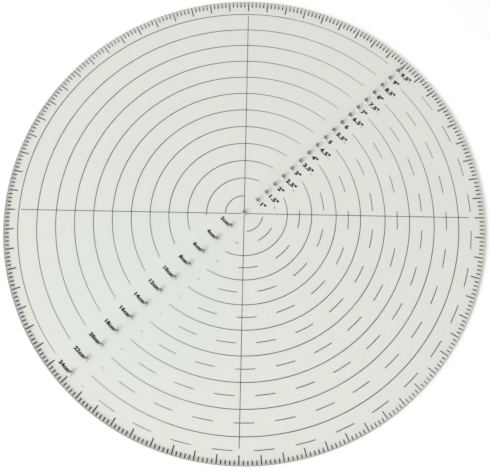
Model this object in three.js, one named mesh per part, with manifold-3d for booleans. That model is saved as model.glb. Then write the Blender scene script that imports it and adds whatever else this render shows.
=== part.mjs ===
// A clear acrylic circle disc: a round plate with a line of pencil holes across it, circles engraved
// in its underside and filled with dark paint, and a cross through its centre.
//
// Millimetres. The underside lies on z = 0 with the disc's axis on Z. The cross lies on X and Y.
// The hole line runs through the centre at 45 degrees: inch holes on the +X +Y side, centimetre
// holes on the other. Centimetre circles fill the upper left half and inch circles the lower right.
//
// Every painted line is a bar of paint in a groove of its own, open at the underside.

import * as THREE from 'three';
import { mergeVertices } from 'three/addons/utils/BufferGeometryUtils.js';
import Module from 'manifold-3d';

// Driving dimensions

// The largest circle of each half lies at circlePitch * centimetreCircles from the centre.
const circlePitch = 10; // a 2 cm circle has a radius of 10 mm, a 4 cm circle 20 mm
const centimetreCircles = 12;
const rimBand = 7; // plain band outside the largest circle, which carries the degree ticks
const plateThickness = 3;

const firstInchRadius = 10; // radius of the smallest inch circle
const inchHoles = 18; // one for each half inch from 1 to 9.5
const holeDiameter = 2.4; // takes a pencil lead or a pin
const holeLineAngle = 45; // degrees from +X

const paintWidth = 0.4;
const circlePaintHeight = 0.1;
const crossLap = 0.15; // the cross is engraved this much deeper, and laps over the circles
const paintRecess = 0.05; // paint stays this far above the underside
const paintClearance = 0.05; // between the paint and the walls and floor of its groove

const inchEndGap = 8; // from the hole line to the ends of an inch circle
const centimetreEndGap = 7.2; // from the inch holes to the near end of a centimetre circle
const labelEndGap = 13.1; // from the centimetre holes and their numbers to the other end
const crossInset = 1; // the cross stops this far inside the largest circle
const crossHoleGap = 0.3; // between the cross and the centre hole

const rimSegments = 180;
const holeSegments = 16;
const arcTolerance = 0.1; // how far a chord may stray from its arc
const fewestArcSegments = 10;

// Derived sizes

const largestRadius = circlePitch * centimetreCircles;
const discRadius = largestRadius + rimBand;
const inchPitch = (largestRadius - firstInchRadius) / (inchHoles - 1);
const holeRadius = holeDiameter / 2;
const crossPaintHeight = circlePaintHeight + paintClearance + crossLap;
const radians = THREE.MathUtils.degToRad;
const halfTurn = 180;

const wasm = await Module();
wasm.setup();

const acrylic = new THREE.MeshStandardMaterial({ color: 0xe6e8e0, roughness: 0.08, metalness: 0 });
acrylic.transparent = true;
acrylic.opacity = 0.35;
const paint = new THREE.MeshStandardMaterial({ color: 0x2c2c2a, roughness: 0.6, metalness: 0 });

// Solids

function toSolid(geometry) {
  const bare = geometry.clone();
  bare.deleteAttribute('normal');
  bare.deleteAttribute('uv');
  const merged = mergeVertices(bare);
  const vertProperties = new Float32Array(merged.attributes.position.array);
  const triVerts = new Uint32Array(merged.index.array);
  return new wasm.Manifold(new wasm.Mesh({ numProp: 3, vertProperties, triVerts }));
}

function toGeometry(solid) {
  const { vertProperties, triVerts } = solid.getMesh();
  const geometry = new THREE.BufferGeometry();
  geometry.setAttribute('position', new THREE.BufferAttribute(vertProperties, 3));
  geometry.setIndex(new THREE.BufferAttribute(triVerts, 1));
  geometry.computeVertexNormals();
  return geometry;
}

function extrude(shape, bottom, height) {
  const geometry = new THREE.ExtrudeGeometry(shape, { depth: height, bevelEnabled: false, steps: 1 });
  return geometry.translate(0, 0, bottom);
}

function polar(radius, degrees) {
  return new THREE.Vector2(radius * Math.cos(radians(degrees)), radius * Math.sin(radians(degrees)));
}

function listOf(count, item) {
  return Array.from({ length: count }, (_, i) => item(i));
}

function arcPoints(radius, start, end, segments) {
  const step = (end - start) / segments;
  return listOf(segments + 1, (i) => polar(radius, start + step * i));
}

function circlePoints(radius, segments, centre) {
  const step = (2 * halfTurn) / segments;
  return listOf(segments, (i) => polar(radius, step * i).add(centre));
}

// A line of paint, and the groove that it lies in. Both are the same outline and height, and the
// groove has paintClearance more on every side and is open at the underside.

function arcSegments(radius, span) {
  const step = 2 * Math.acos(1 - arcTolerance / radius);
  return Math.max(fewestArcSegments, Math.ceil(radians(span) / step));
}

function arcBar({ radius, start, end }, width, overrun, bottom, height) {
  const segments = arcSegments(radius, end - start);
  const more = THREE.MathUtils.radToDeg(overrun / radius);
  const outer = arcPoints(radius + width / 2, start - more, end + more, segments);
  const inner = arcPoints(radius - width / 2, start - more, end + more, segments);
  return extrude(new THREE.Shape([...outer, ...inner.reverse()]), bottom, height);
}

function straightBar({ angle, from, to }, width, overrun, bottom, height) {
  const shape = new THREE.Shape([
    new THREE.Vector2(from - overrun, -width / 2),
    new THREE.Vector2(to + overrun, -width / 2),
    new THREE.Vector2(to + overrun, width / 2),
    new THREE.Vector2(from - overrun, width / 2),
  ]);
  return extrude(shape, bottom, height).rotateZ(radians(angle));
}

function paintOf(line) {
  return line.bar(line, paintWidth, 0, paintRecess, line.paintHeight);
}

function grooveOf(line) {
  const width = paintWidth + 2 * paintClearance;
  const below = 1; // the cutter starts well under the plate, so that the groove is open
  const depth = paintRecess + line.paintHeight + paintClearance;
  return toSolid(line.bar(line, width, paintClearance, -below, below + depth));
}

// How far round from the hole line a circle ends, for an end that keeps a straight gap to it.

function endAngle(gap, radius) {
  return THREE.MathUtils.radToDeg(Math.asin(gap / radius));
}

function centimetreCircle(number) {
  const radius = circlePitch * number;
  // The smallest circle is too small to leave room for its number, so it ends evenly.
  const farGap = radius > labelEndGap ? labelEndGap : centimetreEndGap;
  return {
    name: `centimetre_circle_${2 * number}`,
    radius,
    start: holeLineAngle + endAngle(centimetreEndGap, radius),
    end: holeLineAngle + halfTurn - endAngle(farGap, radius),
    bar: arcBar,
    paintHeight: circlePaintHeight,
  };
}

function inchCircle(inches) {
  const radius = firstInchRadius + inchPitch * 2 * (inches - 1);
  const short = endAngle(inchEndGap, radius);
  return {
    name: `inch_circle_${inches}`,
    radius,
    start: holeLineAngle + halfTurn + short,
    end: holeLineAngle + 2 * halfTurn - short,
    bar: arcBar,
    paintHeight: circlePaintHeight,
  };
}

function crossArm(side, quarter) {
  return {
    name: `cross_line_${side}`,
    angle: (halfTurn / 2) * quarter,
    from: holeRadius + crossHoleGap,
    to: largestRadius - crossInset,
    bar: straightBar,
    paintHeight: crossPaintHeight,
  };
}

// Only the whole inches have a solid circle: every second hole, from the first.

function makeCircles() {
  const centimetres = listOf(centimetreCircles, (i) => centimetreCircle(i + 1));
  const inches = listOf(Math.ceil(inchHoles / 2), (i) => inchCircle(i + 1));
  return [...centimetres, ...inches];
}

function makeCross() {
  return ['right', 'top', 'left', 'bottom'].map(crossArm);
}

// The plate, with every hole right through it and every groove cut into its underside.

function holeCentres() {
  const inchHole = (i) => polar(firstInchRadius + inchPitch * i, holeLineAngle);
  const centimetreHole = (i) => polar(circlePitch * (i + 1), holeLineAngle + halfTurn);
  const inches = listOf(inchHoles, inchHole);
  const centimetres = listOf(centimetreCircles, centimetreHole);
  return [new THREE.Vector2(0, 0), ...inches, ...centimetres];
}

function makeDisc(grooves) {
  const outline = new THREE.Shape(circlePoints(discRadius, rimSegments, new THREE.Vector2(0, 0)));
  const hole = (centre) => new THREE.Path(circlePoints(holeRadius, holeSegments, centre));
  outline.holes = holeCentres().map(hole);
  let solid = toSolid(extrude(outline, 0, plateThickness));
  for (const groove of grooves) {
    solid = solid.subtract(groove);
  }
  return new THREE.Mesh(toGeometry(solid), acrylic);
}

// Where a cross line meets a circle, it bridges the circle's groove and stays in one piece.

function makeArm(arm, circleGrooves) {
  let solid = toSolid(paintOf(arm));
  for (const groove of circleGrooves) {
    solid = solid.subtract(groove);
  }
  return new THREE.Mesh(toGeometry(solid), paint);
}

function named(mesh, name) {
  mesh.name = name;
  return mesh;
}

const circles = makeCircles();
const cross = makeCross();
const circleGrooves = circles.map(grooveOf);
const crossGrooves = cross.map(grooveOf);

const disc = new THREE.Group();
disc.add(named(makeDisc([...circleGrooves, ...crossGrooves]), 'acrylic_disc'));
for (const circle of circles) {
  disc.add(named(new THREE.Mesh(paintOf(circle), paint), circle.name));
}
for (const arm of cross) {
  disc.add(named(makeArm(arm, circleGrooves), arm.name));
}

export default disc;
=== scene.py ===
# %% [markdown]
# # A clear acrylic circle disc
#
# This lesson dresses a plain CAD model of a drawing instrument: a clear plastic disc that lies on
# paper. A pin goes through its centre hole and a pencil through one of the others, and turning the
# disc draws a circle of the size written beside that hole. Degree ticks run round the rim.
#
# The disc is one flat sheet. Everything that can be read on it is dark paint in fine engraved
# lines, so the lesson has two subjects: a believable clear sheet, and crisp marks inside it.

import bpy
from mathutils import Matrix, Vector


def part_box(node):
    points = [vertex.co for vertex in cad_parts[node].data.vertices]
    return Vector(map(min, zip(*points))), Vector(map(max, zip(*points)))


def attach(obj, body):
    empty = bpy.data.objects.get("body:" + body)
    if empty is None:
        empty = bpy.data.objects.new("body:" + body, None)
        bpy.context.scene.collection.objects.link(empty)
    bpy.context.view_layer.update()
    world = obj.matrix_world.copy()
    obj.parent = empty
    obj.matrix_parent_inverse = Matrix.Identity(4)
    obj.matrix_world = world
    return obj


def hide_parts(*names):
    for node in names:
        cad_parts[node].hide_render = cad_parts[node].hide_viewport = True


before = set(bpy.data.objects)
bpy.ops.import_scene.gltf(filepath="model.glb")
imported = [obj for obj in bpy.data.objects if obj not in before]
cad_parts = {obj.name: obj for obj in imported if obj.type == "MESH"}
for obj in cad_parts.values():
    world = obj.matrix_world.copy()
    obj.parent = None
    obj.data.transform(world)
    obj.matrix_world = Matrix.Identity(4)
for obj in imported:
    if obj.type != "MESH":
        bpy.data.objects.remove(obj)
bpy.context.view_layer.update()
print("CAD nodes:", len(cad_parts))

# %% [markdown]
# Blender measures in metres, and a drawing instrument is thought of in millimetres, so one factor
# turns one into the other. The disc's radius and thickness are read from the CAD plate, and the
# rings follow from them: the largest circles lie one rim band inside the edge.

# %% Sizes
import math

import bmesh
import bpy
from mathutils import Matrix, Vector

MM = 0.001
low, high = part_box("acrylic_disc")
disc_radius = (high[0] - low[0]) / 2
thickness = high[2] - low[2]
rim_band = 7 * MM
largest_radius = disc_radius - rim_band
centimetre_rings = 12
ring_pitch = largest_radius / centimetre_rings
print(f"disc {2 * disc_radius / MM:.1f} mm across, {thickness / MM:.1f} mm thick")

# %% [markdown]
# The inch holes are spread evenly between the smallest inch circle and the largest circle, one for
# each half inch from 1 to 9.5. All the holes lie on one straight line at 45 degrees: inches on the
# upper right, centimetres on the lower left, and one hole for the pin in the middle.

# %% Circles and holes
first_inch_radius = 10 * MM
inch_holes = 18
inch_pitch = (largest_radius - first_inch_radius) / (inch_holes - 1)
inch_radii = [first_inch_radius + inch_pitch * i for i in range(inch_holes)]
centimetre_radii = [ring_pitch * (i + 1) for i in range(centimetre_rings)]
hole_radius = 1.2 * MM
HOLE_LINE = 45


def polar(radius, degrees):
    """The point at this distance and angle from the centre."""
    turn = math.radians(degrees)
    return Vector((radius * math.cos(turn), radius * math.sin(turn)))


hole_centres = [Vector((0, 0))]
hole_centres += [polar(radius, HOLE_LINE) for radius in inch_radii]
hole_centres += [polar(radius, HOLE_LINE + 180) for radius in centimetre_radii]
print("holes:", len(hole_centres))

# %% [markdown]
# ## Shader maths
#
# A material is a graph of nodes, and long sums are hard to read as nodes. This small class wraps a
# socket, so that `0.1 + 0.4 * smudges` adds the Math nodes by itself. The reflected forms, such as
# `__rsub__`, are what lets a plain number stand on the left, as in `1 - mask`.

# %% A socket that can be used in a sum


class Wire:
    def __init__(self, tree, socket):
        self.tree = tree
        self.socket = socket

    def math(self, operation, first, second):
        node = self.tree.nodes.new("ShaderNodeMath")
        node.operation = operation
        for socket, value in zip(node.inputs, (first, second)):
            feed(self.tree, socket, value)
        return Wire(self.tree, node.outputs[0])

    def __add__(self, other):
        return self.math("ADD", self, other)

    def __sub__(self, other):
        return self.math("SUBTRACT", self, other)

    def __rsub__(self, other):
        return self.math("SUBTRACT", other, self)

    def __mul__(self, other):
        return self.math("MULTIPLY", self, other)

    __radd__ = __add__
    __rmul__ = __mul__

    def largest(self, other):
        return self.math("MAXIMUM", self, other)


def feed(tree, socket, value):
    """Gives a socket a link or a plain value."""
    if isinstance(value, Wire):
        tree.links.new(value.socket, socket)
    else:
        socket.default_value = value


# %% [markdown]
# Every other node comes from one method. It takes the node's type, then its settings, because some
# settings change which sockets a node has, and then what its sockets get. The colours are blended
# by a Mix node, since a Math node would turn them grey.

# %% A finish and its nodes


class Finish:
    def __init__(self, name):
        self.material = bpy.data.materials.new(name)
        self.material.use_nodes = True
        self.tree = self.material.node_tree
        self.tree.nodes.clear()

    def node(self, kind, settings=None, inputs=None, output=0):
        node = self.tree.nodes.new(kind)
        for name, value in (settings or {}).items():
            setattr(node, name, value)
        for key, value in (inputs or {}).items():
            feed(self.tree, node.inputs[key], value)
        return Wire(self.tree, node.outputs[output]) if node.outputs else None

    def blend(self, amount, first, second):
        inputs = {0: amount, 6: first, 7: second}
        return self.node("ShaderNodeMix", {"data_type": "RGBA"}, inputs, output=2)

    def done(self, shader):
        self.node("ShaderNodeOutputMaterial", inputs={"Surface": shader})
        print("finish:", self.material.name, len(self.tree.nodes), "nodes")
        return self.material


def colour(red, green, blue):
    return (red, green, blue, 1)


# %% [markdown]
# Patterns are placed by the Object coordinates, which are metres on this model. A noise of scale
# 1000 therefore has grains of about a millimetre. Stretching the coordinates stretches the grains,
# which turns blots into scratches. A Map Range cuts a pattern down to the part that is wanted.

# %% Patterns


def place(finish, scale=(1, 1, 1), turn=0):
    here = finish.node("ShaderNodeTexCoord", output="Object")
    inputs = {"Vector": here, "Scale": scale, "Rotation": (0, 0, math.radians(turn))}
    return finish.node("ShaderNodeMapping", inputs=inputs)


def noise(finish, scale, detail=3, at=None):
    inputs = {"Vector": at or place(finish), "Scale": scale, "Detail": detail}
    return finish.node("ShaderNodeTexNoise", inputs=inputs)


def between(finish, value, start, end, low=0, high=1):
    """Low below start, high above end, and a smooth ramp between them."""
    inputs = {"Value": value, "From Min": start, "From Max": end, "To Min": low, "To Max": high}
    return finish.node("ShaderNodeMapRange", {"interpolation_type": "SMOOTHSTEP"}, inputs)


def scratches(finish, turn, length=90):
    """Hairlines in one direction: a noise drawn out long, of which only the peaks stay."""
    along = place(finish, scale=(length, 4200, 1), turn=turn)
    return between(finish, noise(finish, 1, detail=2, at=along), 0.70, 0.76)


# %% [markdown]
# ## Clear acrylic
#
# Acrylic bends light a little less than glass does: its index of refraction is 1.49. It is never
# quite clean. Fingers leave soft smudges that are rougher than the polished face, paper leaves
# hairline scratches, and a few specks of dust sit on it. The sheet is also faintly green, in uneven
# patches and in one wide spot on the centimetre side.

# %% Marks of use on the sheet


def dust(finish):
    """A few round specks: the inside of small cells, and only in some places."""
    inputs = {"Vector": place(finish), "Scale": 260}
    cells = finish.node("ShaderNodeTexVoronoi", inputs=inputs)
    specks = between(finish, cells, 0.05, 0.1, low=1, high=0)
    return specks * between(finish, noise(finish, 90), 0.64, 0.69)


green_middle = (-52 * MM, -42 * MM, 0)
green_reach = 75 * MM


def soft_spot(finish, middle, reach):
    """A wide round patch that fades out at its reach."""
    here = finish.node("ShaderNodeTexCoord", output="Object")
    places = {0: here, 1: middle}
    away = finish.node("ShaderNodeVectorMath", {"operation": "DISTANCE"}, places, output=1)
    return between(finish, away, reach / 3, reach, low=1, high=0)


def wear(finish):
    lines = scratches(finish, 20).largest(scratches(finish, 75)).largest(scratches(finish, -40))
    worn = between(finish, noise(finish, 14), 0.45, 0.7)
    return lines * worn


# %% [markdown]
# Clear plastic on a table lets most of the lamplight through to the table, but a path tracer
# struggles to find lamps through a surface that bends light. The usual answer is to let the rays
# that look for light pass straight through a plain tinted film, and to show real refraction to the
# rays that make the picture. The Light Path node tells the two kinds of ray apart.

# %% A sheet that lets light through


def see_through(finish, shader, film):
    """Refraction for the eye, and a straight way through a tinted film for light."""
    to_lamp = finish.node("ShaderNodeLightPath", output="Is Shadow Ray")
    scattered = finish.node("ShaderNodeLightPath", output="Is Diffuse Ray")
    film_shader = finish.node("ShaderNodeBsdfTransparent", inputs={"Color": film})
    inputs = {0: to_lamp.largest(scattered), 1: shader, 2: film_shader}
    return finish.node("ShaderNodeMixShader", inputs=inputs)


ACRYLIC_IOR = 1.49


def acrylic(finish, tint, roughness, normal):
    inputs = {
        "Base Color": tint,
        "Roughness": roughness,
        "IOR": ACRYLIC_IOR,
        "Transmission Weight": 1.0,
        "Normal": normal,
    }
    return finish.node("ShaderNodeBsdfPrincipled", inputs=inputs)


# %% [markdown]
# The two flat faces get this finish. Its bump is kept very small, because the eye looks through it
# at fine lines, which even a slight wave would bend.

# %% The polished faces


def polished_faces():
    finish = Finish("clear_acrylic_faces")
    specks = dust(finish)
    lines = wear(finish)
    patches = between(finish, noise(finish, 16, detail=4), 0.42, 0.62) * 0.4
    patches = patches.largest(soft_spot(finish, green_middle, green_reach))
    smudges = between(finish, noise(finish, 45, detail=5), 0.5, 0.75)
    sheet = finish.blend(patches, colour(0.965, 0.957, 0.94), colour(0.92, 0.972, 0.945))
    tint = finish.blend(specks * 0.9, sheet, colour(0.35, 0.34, 0.31))
    roughness = 0.012 + smudges * 0.05 + lines * 0.12 + specks * 0.3
    height = noise(finish, 30, detail=1) * 2.0 + lines * -0.4
    inputs = {"Height": height, "Strength": 0.12, "Distance": 0.02 * MM}
    bump = finish.node("ShaderNodeBump", inputs=inputs)
    film = colour(0.872, 0.877, 0.851)
    return finish.done(see_through(finish, acrylic(finish, tint, roughness, bump), film))


faces_finish = polished_faces()

# %% [markdown]
# A laser cuts the rim and the holes. It leaves a bright rim with fine upright ripples, because the
# beam pulses as it moves along. Squeezing the coordinates along Z draws the noise out upright. The
# small holes come out matt, and the far side of each is given darker tints: painted shade, where
# that wall lies in shadow. Less light gets through a wall than through a face, so its film is darker,
# and this gives the disc its soft dark outline on the paper.

# %% The cut walls


def cut_walls(name, clear, smoky, film, rough, ripple):
    """clear and smoky are two tints that are mixed in blots, and film is what light goes through."""
    finish = Finish(name)
    upright = place(finish, scale=(1, 1, 0.03))
    ripples = noise(finish, 2600, detail=2, at=upright)
    smoke = between(finish, noise(finish, 300, detail=3), 0.4, 0.7)
    tint = finish.blend(smoke, clear, smoky)
    roughness = rough + smoke * 0.04
    inputs = {"Height": ripples, "Strength": ripple, "Distance": 0.04 * MM}
    bump = finish.node("ShaderNodeBump", inputs=inputs)
    return finish.done(see_through(finish, acrylic(finish, tint, roughness, bump), film))


rim_colours = (colour(0.9, 0.92, 0.89), colour(0.8, 0.82, 0.78), colour(0.5, 0.505, 0.49))
hole_colours = (colour(0.88, 0.88, 0.86), colour(0.75, 0.75, 0.72), colour(0.6, 0.6, 0.58))
# Two darker tints for the far side of each hole: painted shade, where that wall lies in shadow.
shaded_side_colours = (colour(0.42, 0.42, 0.4), colour(0.25, 0.25, 0.24), colour(0.5, 0.5, 0.49))
rim_finish = cut_walls("laser_cut_rim", *rim_colours, 0.03, 0.12)
hole_finish = cut_walls("laser_cut_holes", *hole_colours, 0.7, 0.4)
shaded_side_finish = cut_walls("painted_shade_hole_side", *shaded_side_colours, 0.7, 0.4)

# %% [markdown]
# ## Paint in the lines
#
# The marks are burnt into the underside by the same laser and wiped full of dark paint. The paint
# is matt and slightly uneven: it is thin in places, where the line looks greyer. One recipe gives
# four finishes: the full paint, a grey for the painted shade inside the holes, the faint ends of the
# dashed rings, and a dark grey for the painted contact shade along the lowest edge of the rim.

# %% Paint


def line_paint(name, dark, pale):
    finish = Finish(name)
    uneven = noise(finish, 700, detail=4) * 0.5 + noise(finish, 70) * 0.5
    thin = between(finish, uneven, 0.45, 0.6)
    grain = noise(finish, 9000, detail=2)
    grain_bump = {"Height": grain, "Strength": 0.35, "Distance": 0.02 * MM}
    inputs = {
        "Base Color": finish.blend(thin, dark, pale),
        "Roughness": 0.55 + grain * 0.3,
        "Specular IOR Level": 0.1,
        "Normal": finish.node("ShaderNodeBump", inputs=grain_bump),
    }
    return finish.done(finish.node("ShaderNodeBsdfPrincipled", inputs=inputs))


full_paint = line_paint("engraved_paint", colour(0.008, 0.008, 0.007), colour(0.07, 0.07, 0.062))
# A grey for the crescents in the holes: painted shade.
hole_shade_paint = line_paint("painted_hole_shade", colour(0.15, 0.15, 0.14), colour(0.3, 0.3, 0.28))
# A dark grey for the lowest edge of the rim: painted contact shade where the rim meets the paper.
rim_foot_shade_paint = line_paint("painted_rim_foot_shade", colour(0.3, 0.29, 0.27), colour(0.5, 0.49, 0.46))
faint_paint = line_paint("faint_line_paint", colour(0.16, 0.16, 0.15), colour(0.3, 0.3, 0.28))

# %% [markdown]
# ## The plate
#
# A disc with holes could be a cylinder with cutters, but a boolean leaves untidy edges. Here each
# outline is a loop of points, and the wall beside it is a stack of such loops. The outermost loops
# step back a little, which breaks the sharp edge as a real one is broken: a tenth of a millimetre at
# the rim, and less at the holes. Blender then fills the flat faces between the loops. They take the
# first finish, the clear one.

# %% One wall: a stack of loops

# The lowest storeys of the rim wall get the dark grey of painted contact shade.
SHADED_FOOT_STOREYS = 2
# The angles on a hole's wall that get the darker tints of painted shade.
SHADED_SIDE_FROM = 30
SHADED_SIDE_TO = 150
rim_break = 0.1 * MM
hole_break = 0.03 * MM
edge_steps = [(1, 0), (0.3, 0.3), (0, 1)]
CLEAR, RIM, HOLE, SHADED_SIDE, SHADED_FOOT = range(5)


def wall_profile(edge_break):
    """How far each loop steps back from the wall, and how high it lies."""
    lower = [(inset * edge_break, height * edge_break) for inset, height in edge_steps]
    return lower + [(inset, thickness - height) for inset, height in reversed(lower)]


def add_loop(mesh, centre, radius, height, count):
    points = [centre + polar(radius, 360 * i / count) for i in range(count)]
    return [mesh.verts.new((point.x, point.y, height)) for point in points]


def add_wall(mesh, loops, finish_at):
    """finish_at tells the finish of a face from its storey and its angle on the wall."""
    count = len(loops[0])
    for storey, (below, above) in enumerate(zip(loops, loops[1:])):
        for i in range(count):
            j = (i + 1) % count
            face = mesh.faces.new((below[i], below[j], above[j], above[i]))
            face.smooth = True
            face.material_index = finish_at(storey, 360 * (i + 0.5) / count)
    return loops[0], loops[-1]


def rim_finish_at(storey, angle):
    return SHADED_FOOT if storey < SHADED_FOOT_STOREYS else RIM


# Faces between these angles, on a hole's far side, get the painted shade finish.
def hole_finish_at(storey, angle):
    return SHADED_SIDE if SHADED_SIDE_FROM < angle < SHADED_SIDE_TO else HOLE


def add_rim(mesh, count=720):
    middle = Vector((0, 0))
    loops = [add_loop(mesh, middle, disc_radius - inset, z, count) for inset, z in wall_profile(rim_break)]
    return add_wall(mesh, loops, rim_finish_at)


def add_hole(mesh, centre, count=48):
    loops = [add_loop(mesh, centre, hole_radius + inset, z, count) for inset, z in wall_profile(hole_break)]
    return add_wall(mesh, loops, hole_finish_at)


# %% [markdown]
# The rim has 720 points, so that it stays round when it fills the picture.

# %% The plate with its holes


def loop_edges(mesh, loop):
    return [mesh.edges.get((a, b)) for a, b in zip(loop, loop[1:] + loop[:1])]


def fill_face(mesh, loops):
    edges = [edge for loop in loops for edge in loop_edges(mesh, loop)]
    bmesh.ops.triangle_fill(mesh, use_beauty=True, edges=edges)


def to_object(mesh, name, materials):
    data = bpy.data.meshes.new(name)
    mesh.to_mesh(data)
    mesh.free()
    for material in materials:
        data.materials.append(material)
    thing = bpy.data.objects.new(name, data)
    bpy.context.scene.collection.objects.link(thing)
    return thing


def make_plate():
    mesh = bmesh.new()
    walls = [add_rim(mesh)]
    walls += [add_hole(mesh, centre) for centre in hole_centres]
    for loops in zip(*walls):
        fill_face(mesh, loops)
    bmesh.ops.recalc_face_normals(mesh, faces=mesh.faces)
    finishes = [faces_finish, rim_finish, hole_finish, shaded_side_finish, rim_foot_shade_paint]
    plate = to_object(mesh, "clear_plate", finishes)
    plate.data.set_sharp_from_angle(angle=math.radians(20))
    return plate


plate = make_plate()
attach(plate, "root")
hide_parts("acrylic_disc")
print("plate faces:", len(plate.data.polygons))

# %% [markdown]
# ## Strokes
#
# Every ring, dash, arm and tick is a stroke: a thin bar of paint along a path. A stroke is built
# from stations, each a left and a right point across the path. The first and last stations narrow
# along a quarter circle, which gives the round ends of a line that a beam has drawn.
#
# The laser sweeps from upper left to lower right, across the hole line, and it smears each stroke
# a little along its sweep. So strokes that lie across the sweep come out wider than strokes along
# it.

# %% A stroke of paint

paint_bottom = 0.02 * MM
paint_top = 0.12 * MM
sweep_smear = 0.28 * MM
SWEEP = -45
end_steps = [0, 0.15, 0.5, 1]


def stroke_width(base, heading):
    return base + sweep_smear * abs(math.sin(math.radians(heading - SWEEP)))


def station_places(length, width, step):
    """Distances along a stroke, close together at its round ends."""
    cap = min(width, length) / 2
    middle = max(1, math.ceil((length - 2 * cap) / step))
    start = [cap * s for s in end_steps[:-1]]
    body = [cap + (length - 2 * cap) * i / middle for i in range(middle + 1)]
    return start + body + [length - s for s in reversed(start)]


def end_narrowing(distance, length, width):
    cap = min(width, length) / 2
    inside = min(distance, length - distance, cap) / cap
    return max(0.08, math.sqrt(1 - (1 - inside) ** 2))


# %% [markdown]
# The path is a function that gives a point and a heading for a distance along it. Rings and dashes
# follow an arc, and ticks and arms a straight line out from the centre.

# %% Paths


def arc_path(radius, start):
    def at(distance):
        angle = start + math.degrees(distance / radius)
        return polar(radius, angle), angle + 90

    return at


def shifted_path(path, offset):
    def at(distance):
        point, heading = path(distance)
        return point + offset, heading

    return at


def ray_path(start, angle):
    def at(distance):
        return polar(start + distance, angle), angle

    return at


def add_stroke(mesh, path, length, base, step=2 * MM):
    rows = []
    for distance in station_places(length, base, step):
        point, heading = path(distance)
        half = stroke_width(base, heading) / 2 * end_narrowing(distance, length, base)
        across = polar(half, heading + 90)
        corners = [point - across, point + across]
        heights = ((corners[0], paint_bottom), (corners[1], paint_bottom))
        heights += ((corners[1], paint_top), (corners[0], paint_top))
        rows.append([mesh.verts.new((spot.x, spot.y, z)) for spot, z in heights])
    for near, far in zip(rows, rows[1:]):
        for i in range(4):
            j = (i + 1) % 4
            mesh.faces.new((near[i], near[j], far[j], far[i]))
    mesh.faces.new(rows[0][::-1])
    mesh.faces.new(rows[-1])


# %% [markdown]
# ## The rings
#
# The centimetre rings fill the upper left half and the inch rings the lower right. Each ring stops
# at the same straight distance from the hole line, wherever it meets it, and leaves a clear lane
# for the holes and numbers. That distance is turned into an angle, which is wide on a small ring
# and narrow on a large one. Only the smallest centimetre ring is too small to clear its number.

# %% Where a ring ends

centimetre_end_gap = 7.3 * MM
number_end_gap = 13.2 * MM
inch_end_gap = 8.1 * MM
ring_line = 0.11 * MM


def end_angle(gap, radius):
    return math.degrees(math.asin(gap / radius))


def add_arc(mesh, radius, start, end, base=ring_line):
    length = radius * math.radians(end - start)
    add_stroke(mesh, arc_path(radius, start), length, base)


def centimetre_span(radius):
    far = number_end_gap if radius > number_end_gap else centimetre_end_gap
    start = HOLE_LINE + end_angle(centimetre_end_gap, radius)
    return start, HOLE_LINE + 180 - end_angle(far, radius)


def inch_span(radius):
    short = end_angle(inch_end_gap, radius)
    return HOLE_LINE + 180 + short, HOLE_LINE + 360 - short


# %% [markdown]
# Every solid ring stands for the ring of the same name in the CAD model.

# %% The solid rings


def finish_paint(mesh, name, paint=None):
    bmesh.ops.recalc_face_normals(mesh, faces=mesh.faces)
    piece = to_object(mesh, name, [paint or full_paint])
    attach(piece, "root")
    return piece


def solid_ring(node, radius, span):
    mesh = bmesh.new()
    add_arc(mesh, radius, *span)
    piece = finish_paint(mesh, f"{node}_line")
    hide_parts(node)


for i, radius in enumerate(centimetre_radii):
    solid_ring(f"centimetre_circle_{2 * (i + 1)}", radius, centimetre_span(radius))
for i, radius in enumerate(inch_radii[::2]):
    solid_ring(f"inch_circle_{i + 1}", radius, inch_span(radius))
print("solid rings:", len(centimetre_radii) + len(inch_radii[::2]))

# %% [markdown]
# The half inch rings are dashed, which keeps them apart from the whole inches. A dash is centred
# on the far side of the disc from the hole line, and the others follow it both ways. At each end
# of the ring a faint stub is left over, where the pattern is cut off.

# %% The dashed rings

dash_length = 10.1 * MM
dash_pitch = 20.5 * MM
stub_length = 1.8 * MM
DASH_CENTRE = HOLE_LINE + 270


def dashed_ring(name, radius, dashes_each_way):
    mesh = bmesh.new()
    half = math.degrees(dash_length / radius) / 2
    for i in range(-dashes_each_way, dashes_each_way + 1):
        middle = DASH_CENTRE + i * math.degrees(dash_pitch / radius)
        add_arc(mesh, radius, middle - half, middle + half)
    finish_paint(mesh, name)


def ring_stubs(name, radius):
    mesh = bmesh.new()
    start, end = inch_span(radius)
    stub = math.degrees(stub_length / radius)
    add_arc(mesh, radius, start, start + stub)
    add_arc(mesh, radius, end - stub, end)
    finish_paint(mesh, name, faint_paint)


for i, radius in enumerate(inch_radii[1::2]):
    dashed_ring(f"inch_circle_{i + 1}_and_a_half", radius, i)
    ring_stubs(f"inch_circle_{i + 1}_and_a_half_ends", radius)
print("dashed rings:", len(inch_radii[1::2]))

# %% [markdown]
# ## The cross and the ticks
#
# The cross has four arms, which stop just inside the largest rings and just short of the pin hole.

# %% The cross

cross_inset = 1 * MM
cross_line = 0.09 * MM


def cross_arm(side, angle):
    mesh = bmesh.new()
    start = hole_radius + 0.1 * MM
    length = largest_radius - cross_inset - start
    add_stroke(mesh, ray_path(start, angle), length, cross_line)
    piece = finish_paint(mesh, f"cross_arm_{side}")
    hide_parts(f"cross_line_{side}")


for quarter, side in enumerate(("right", "top", "left", "bottom")):
    cross_arm(side, 90 * quarter)

# %% [markdown]
# Each hole gets a grey crescent of paint against its far wall, always on the same side: painted
# shade, where the hole lies in shadow. A crescent is a short stroke too, this time along an arc
# round the hole's own centre.

# %% Painted shade in the holes

crescent_radius = 0.7 * MM
crescent_width = 0.55 * MM
CRESCENT_MIDDLE = 80
CRESCENT_SPAN = 90


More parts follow.
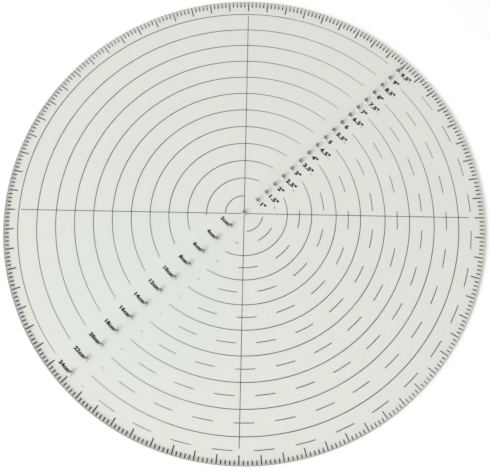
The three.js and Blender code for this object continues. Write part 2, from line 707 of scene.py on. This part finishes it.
def hole_shade_crescents(name):
    mesh = bmesh.new()
    length = crescent_radius * math.radians(CRESCENT_SPAN)
    round_the_hole = arc_path(crescent_radius, CRESCENT_MIDDLE - CRESCENT_SPAN / 2)
    for centre in hole_centres:
        path = shifted_path(round_the_hole, centre)
        add_stroke(mesh, path, length, crescent_width, step=0.1 * MM)
    finish_paint(mesh, name, hole_shade_paint)
    print(name, len(hole_centres))


hole_shade_crescents("painted_shade_in_holes")

# %% [markdown]
# There is a tick for every degree, and every fifth one is long. They end a little short of the
# rim, so that the cut edge stays clean. The long and the short ticks are a piece each.

# %% The degree ticks

tick_end = disc_radius - 0.35 * MM
short_tick = 2.1 * MM
long_tick = 4.5 * MM
tick_line = 0.37 * MM


def ticks(name, length, degrees):
    mesh = bmesh.new()
    for degree in degrees:
        add_stroke(mesh, ray_path(tick_end - length, degree), length, tick_line)
    finish_paint(mesh, name)
    print(name, len(degrees))


ticks("degree_ticks_long", long_tick, range(0, 360, 5))
ticks("degree_ticks_short", short_tick, [d for d in range(360) if d % 5])

# %% [markdown]
# ## Numbers
#
# Each hole has the size of its circle beside it. Blender's own typeface is a plain one, and it is
# a curve, so it can be thickened with an offset before it becomes a mesh. The text is made on its
# own scale, measured, and then stretched to the height and width that the numbers have.

# %% Text as a mesh

TYPE_SIZE = 10
TYPE_WEIGHT = 0.44
TYPE_SPACING = 1.12
TYPE_DEPTH = 0.5


def text_mesh(text):
    curve = bpy.data.curves.new("number", "FONT")
    curve.body = text
    curve.size = TYPE_SIZE
    curve.offset = TYPE_WEIGHT
    curve.space_character = TYPE_SPACING
    curve.resolution_u = 4
    curve.extrude = TYPE_DEPTH
    thing = bpy.data.objects.new("number", curve)
    bpy.context.scene.collection.objects.link(thing)
    graph = bpy.context.evaluated_depsgraph_get()
    data = bpy.data.meshes.new_from_object(thing.evaluated_get(graph))
    bpy.data.objects.remove(thing)
    bpy.data.curves.remove(curve)
    mesh = bmesh.new()
    mesh.from_mesh(data)
    bpy.data.meshes.remove(data)
    bmesh.ops.remove_doubles(mesh, verts=mesh.verts, dist=0.0005)
    return mesh


def extent(mesh, axis):
    values = [vert.co[axis] for vert in mesh.verts]
    return min(values), max(values)


digit_low, digit_high = extent(text_mesh("8"), 1)
sample_low, sample_high = extent(text_mesh("9.5"), 0)
print(f"digits {digit_high - digit_low:.2f} high, sample {sample_high - sample_low:.2f} wide")

# %% [markdown]
# A number reads across the hole line, from upper left to lower right. Its own X axis therefore
# points along the sweep, and its Y axis along the hole line. The inch numbers start just after
# their hole. The centimetre numbers are a little smaller, and end just before theirs.
#
# The sweep smears the numbers as it smears the strokes. Each number is added three times, a little
# apart along the sweep, which thickens only the strokes that lie across it.

# %% Placing a number

number_smear = 0.06 * MM


def number_matrix(mesh, along, across, height, stretch, ends_there):
    """A matrix that takes a text to its place. along is on the hole line, across beside it."""
    scale = height / (digit_high - digit_low)
    left, right = extent(mesh, 0)
    edge = right if ends_there else left
    size = Matrix.Diagonal((scale * stretch, scale, paint_top - paint_bottom, 1))
    slide = Matrix.Translation((-edge, -(digit_low + digit_high) / 2, TYPE_DEPTH))
    spot = polar(along, HOLE_LINE) + polar(across, SWEEP)
    place_there = Matrix.Translation((spot.x, spot.y, paint_bottom))
    return place_there @ Matrix.Rotation(math.radians(SWEEP), 4, "Z") @ size @ slide


def add_number(target, text, *where):
    mesh = text_mesh(text)
    mesh.transform(number_matrix(mesh, *where))
    for smear in (-1, 0, 1):
        data = bpy.data.meshes.new("number")
        mesh.to_mesh(data)
        slip = polar(smear * number_smear, SWEEP)
        data.transform(Matrix.Translation((slip.x, slip.y, 0)))
        target.from_mesh(data)
        bpy.data.meshes.remove(data)
    mesh.free()


# %% [markdown]
# Whole inches are written as 1, 2 and so on, and the others as 1.5, 2.5. Two of the whole inches
# come without the inch mark, as the real disc has them.

# %% The numbers

inch_height = 2.45 * MM
inch_across = 2.4 * MM
inch_along = 0.38 * MM
centimetre_height = 2.1 * MM
centimetre_across = -1.15 * MM
TYPE_STRETCH = 1.17
UNMARKED = (5, 6)


def inch_text(inches):
    figure = f"{inches:g}"
    return figure if inches in UNMARKED else figure + '"'


def inch_numbers():
    mesh = bmesh.new()
    for i, radius in enumerate(inch_radii):
        where = (radius + inch_along, inch_across, inch_height, TYPE_STRETCH, False)
        add_number(mesh, inch_text(1 + i / 2), *where)
    return finish_paint(mesh, "inch_numbers")


def centimetre_numbers():
    mesh = bmesh.new()
    for i, radius in enumerate(centimetre_radii):
        where = (-radius, centimetre_across, centimetre_height, TYPE_STRETCH, True)
        add_number(mesh, f"{2 * (i + 1)}cm", *where)
    return finish_paint(mesh, "centimetre_numbers")


for numbers in (inch_numbers(), centimetre_numbers()):
    print(numbers.name, len(numbers.data.polygons), "faces")

# %% [markdown]
# ## The studio
#
# The disc lies on white paper under a wide, even light. A clear sheet shows little else than what
# is behind and around it, so most of the light comes from a bright plain surround. One soft lamp on
# the lower left adds a direction, which the edges need to look cut. It stands low, so that the rim
# throws little of its light back at the camera.

# %% Paper


def paper():
    finish = Finish("white_paper")
    fibres = noise(finish, 900, detail=5)
    fibre_bump = {"Height": fibres, "Strength": 0.1, "Distance": 0.02 * MM}
    inputs = {
        "Base Color": finish.blend(fibres, colour(0.86, 0.86, 0.855), colour(0.88, 0.88, 0.875)),
        "Roughness": 0.8,
        "Normal": finish.node("ShaderNodeBump", inputs=fibre_bump),
    }
    return finish.done(finish.node("ShaderNodeBsdfPrincipled", inputs=inputs))


def make_floor(gap=0.02 * MM, half=3.0):
    mesh = bmesh.new()
    corners = ((-half, -half), (half, -half), (half, half), (-half, half))
    mesh.faces.new([mesh.verts.new((x, y, -gap)) for x, y in corners])
    return to_object(mesh, "paper_floor", [paper()])


make_floor()

# %% [markdown]
# The surround is a plain white world. The picture is shown as it is, by the Standard view, since
# a filmic view would turn white paper grey.

# %% Light

scene = bpy.context.scene
scene.view_settings.view_transform = "Standard"


def surround(strength):
    world = bpy.data.worlds.new("soft_surround")
    world.use_nodes = True
    background = world.node_tree.nodes["Background"]
    background.inputs["Color"].default_value = colour(1, 1, 1)
    background.inputs["Strength"].default_value = strength
    scene.world = world


def lamp(name, position, width, watts):
    data = bpy.data.lights.new(name, "AREA")
    data.shape = "DISK"
    data.size = width
    data.energy = watts
    thing = bpy.data.objects.new(name, data)
    thing.location = position
    thing.rotation_euler = Vector(position).to_track_quat("Z", "Y").to_euler()
    scene.collection.objects.link(thing)


surround(0.66)
lamp("soft_key", (-1.5, -1.5, 2.1), 0.9, 70)

# %% [markdown]
# ## The camera
#
# The disc is looked at from above and a little from the front, so that its far side is smaller.
# The camera stands a forearm's length away, and is turned by a degree, as a hand-held one is.

# %% Camera

camera_place = Vector((3.6, -100.2, 334.9)) * MM
camera_turn = (14.8, 0.19, 1.16)
camera_lens = 48.17


def make_camera():
    data = bpy.data.cameras.new("camera")
    data.lens = camera_lens
    data.clip_start = 0.01
    thing = bpy.data.objects.new("camera", data)
    thing.location = camera_place
    thing.rotation_euler = [math.radians(angle) for angle in camera_turn]
    scene.collection.objects.link(thing)
    scene.camera = thing


make_camera()
